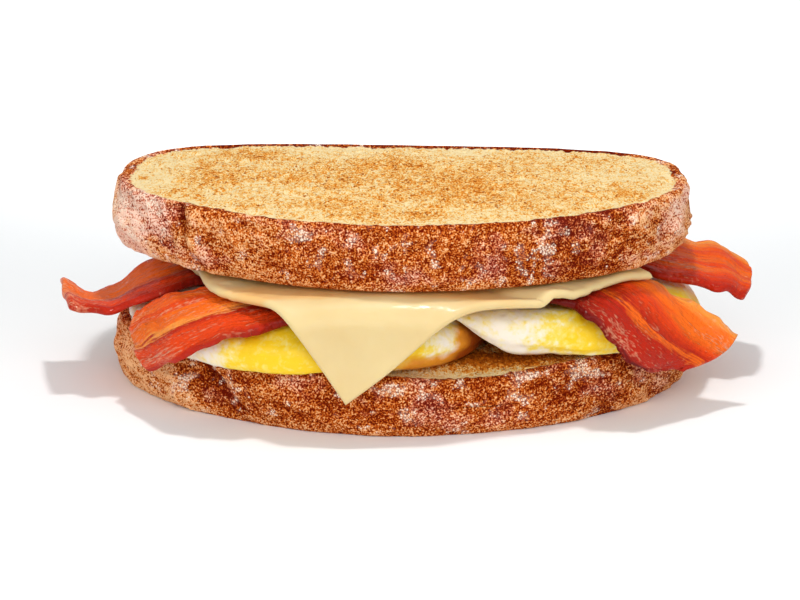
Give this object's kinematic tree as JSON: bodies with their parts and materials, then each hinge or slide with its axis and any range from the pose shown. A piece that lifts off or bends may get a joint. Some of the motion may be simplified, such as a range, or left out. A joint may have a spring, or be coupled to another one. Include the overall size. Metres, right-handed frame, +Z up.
{
  "type": "breakfast sandwich",
  "caption": "Toasted country bread sandwich filled with folded egg, bacon rashers and a square slice of white cheese that hangs down in front; food that rests flat.",
  "frame": {"origin": "middle of the sandwich's footprint, on the surface it stands on", "axes": "+X along the long side of the slices, to the right of someone facing the hanging corner of the cheese; +Y towards the flat back of the loaf; +Z up"},
  "size_m": [0.1742, 0.0932, 0.0499],
  "materials": {
    "bread": "baked crust with flour on it, toasted cut faces, matte",
    "egg": "cooked egg, white marbled with yolk, slightly moist",
    "bacon": "fried bacon, red meat with orange fat, greasy",
    "cheese": "softened white cheese, smooth with a soft shine"
  },
  "bodies": {
    "root": {"bread_bottom": "bread", "egg_left": "egg", "egg_right": "egg", "bacon_left_back": "bacon", "bacon_left_front": "bacon", "bacon_right_front": "bacon", "bacon_right_back": "bacon", "cheese_slice": "cheese", "bread_top": "bread"}
  },
  "joints": []
}
